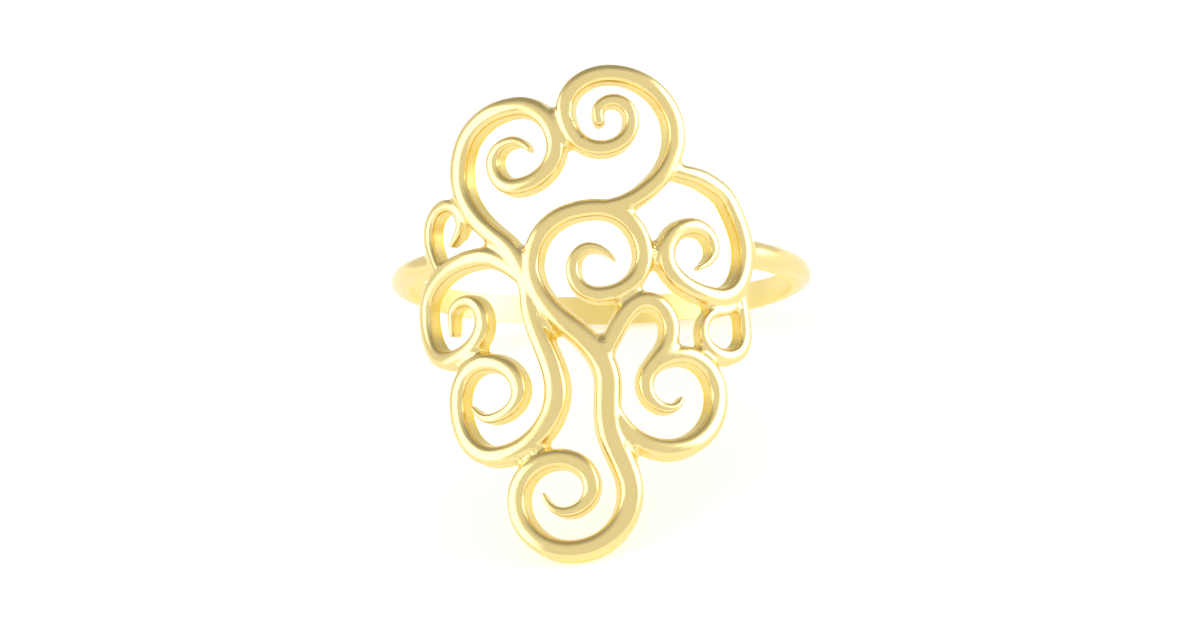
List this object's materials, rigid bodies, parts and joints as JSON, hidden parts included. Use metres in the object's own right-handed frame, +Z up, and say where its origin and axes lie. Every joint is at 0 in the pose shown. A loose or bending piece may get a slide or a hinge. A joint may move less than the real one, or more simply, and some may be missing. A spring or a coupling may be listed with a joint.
{
  "type": "filigree openwork ring",
  "caption": "Openwork finger ring lying on its side: a tall curved head of tapering domed scrolls, cast in one piece with a thin plain shank.",
  "frame": {"origin": "middle of the bounding box at floor level, as the ring lies by itself on its lowest scroll and the back of its shank", "axes": "+Z up from the floor, -Y from the shank's back towards the head, +X to the right of somebody who looks at the head's front"},
  "size_m": [0.019, 0.0236, 0.0178],
  "materials": {
    "gold": "polished pale yellow gold"
  },
  "bodies": {
    "root": {"ring": "gold"}
  },
  "joints": []
}
